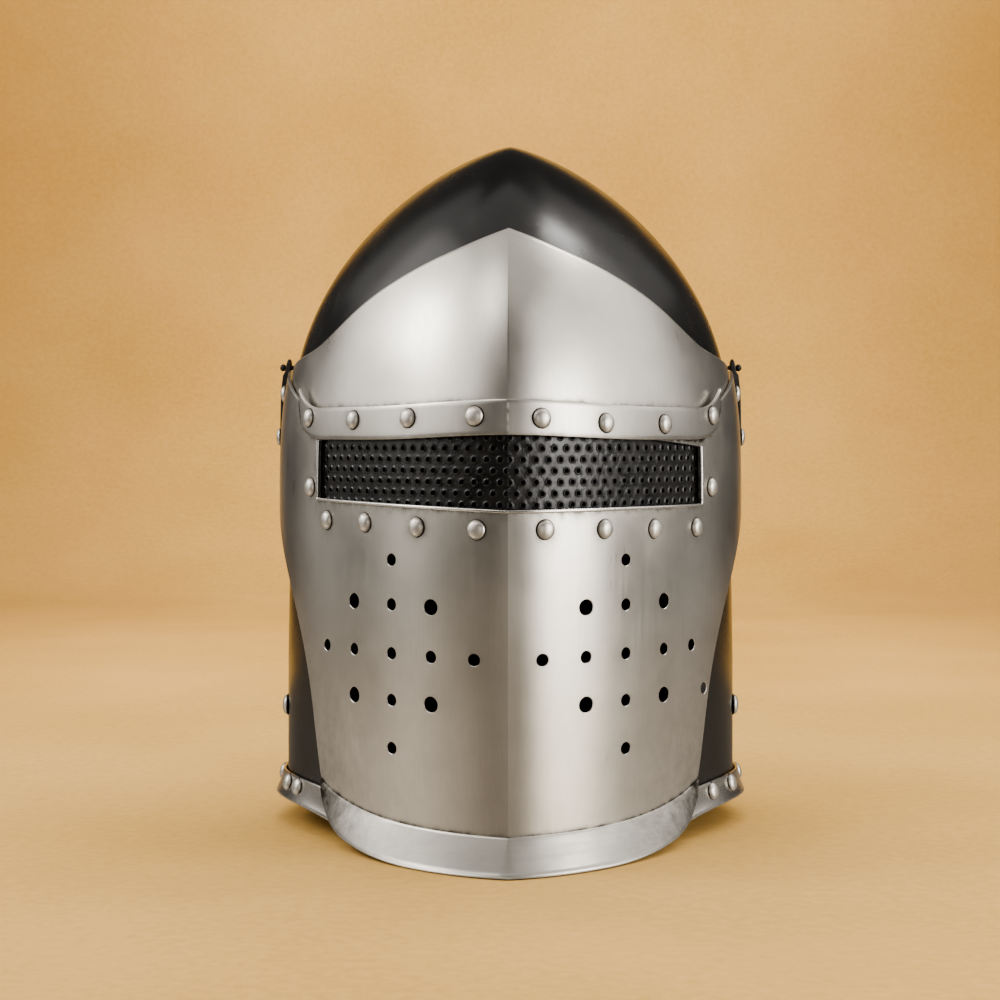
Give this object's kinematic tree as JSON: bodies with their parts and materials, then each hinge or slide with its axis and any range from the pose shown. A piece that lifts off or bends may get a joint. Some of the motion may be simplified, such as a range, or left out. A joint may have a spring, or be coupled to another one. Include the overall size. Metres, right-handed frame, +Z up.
{
  "type": "visored barbute helmet",
  "caption": "Keeled steel helmet with a blackened skull, a riveted flared rim and a bright pivoting visor with a long perforated sight and round breaths.",
  "frame": {"origin": "on the base plane, under the middle of the whole", "axes": "+Z up, the face looks along -Y, +X to the right of someone facing the visor"},
  "size_m": [0.242, 0.2778, 0.3386],
  "materials": {
    "blackened_steel": "blackened, semi-gloss",
    "visor_steel": "satin, brushed upright",
    "rim_steel": "satin, darkened",
    "rivet_steel": "polished domes",
    "black_mesh": "black, satin",
    "latch_iron": "black, satin"
  },
  "bodies": {
    "helmet": {"skull": "blackened_steel", "skull_rim": "rim_steel", "rim_rivet_right_1": "rivet_steel", "rim_rivet_right_2": "rivet_steel", "rim_rivet_right_3": "rivet_steel", "rim_rivet_right_4": "rivet_steel", "rim_rivet_right_5": "rivet_steel", "rim_rivet_right_6": "rivet_steel", "rim_rivet_right_7": "rivet_steel", "rim_rivet_right_8": "rivet_steel", "rim_rivet_left_1": "rivet_steel", "rim_rivet_left_2": "rivet_steel", "rim_rivet_left_3": "rivet_steel", "rim_rivet_left_4": "rivet_steel", "rim_rivet_left_5": "rivet_steel", "rim_rivet_left_6": "rivet_steel", "rim_rivet_left_7": "rivet_steel", "rim_rivet_left_8": "rivet_steel", "skull_rivet_right": "rivet_steel", "skull_rivet_left": "rivet_steel"},
    "visor": {"visor_face": "visor_steel", "visor_brow": "visor_steel", "sight_band": "visor_steel", "sight_plate": "black_mesh", "band_rivet_right_1": "rivet_steel", "band_rivet_right_2": "rivet_steel", "band_rivet_right_3": "rivet_steel", "band_rivet_right_4": "rivet_steel", "sill_rivet_right_1": "rivet_steel", "sill_rivet_right_2": "rivet_steel", "sill_rivet_right_3": "rivet_steel", "sill_rivet_right_4": "rivet_steel", "jamb_rivet_right": "rivet_steel", "band_rivet_left_1": "rivet_steel", "band_rivet_left_2": "rivet_steel", "band_rivet_left_3": "rivet_steel", "band_rivet_left_4": "rivet_steel", "sill_rivet_left_1": "rivet_steel", "sill_rivet_left_2": "rivet_steel", "sill_rivet_left_3": "rivet_steel", "sill_rivet_left_4": "rivet_steel", "jamb_rivet_left": "rivet_steel", "pivot_rivet_right": "rivet_steel", "latch_spring_right": "latch_iron", "latch_stud_right": "latch_iron", "latch_rivet_right": "rivet_steel", "pivot_rivet_left": "rivet_steel", "latch_spring_left": "latch_iron", "latch_stud_left": "latch_iron", "latch_rivet_left": "rivet_steel"}
  },
  "joints": [
    {"name": "visor_lift", "type": "hinge", "parent": "helmet", "child": "visor", "pos_m": [0, 0.02589, 0.214], "axis": [-1, 0, 0], "range_deg": [0, 80]}
  ]
}
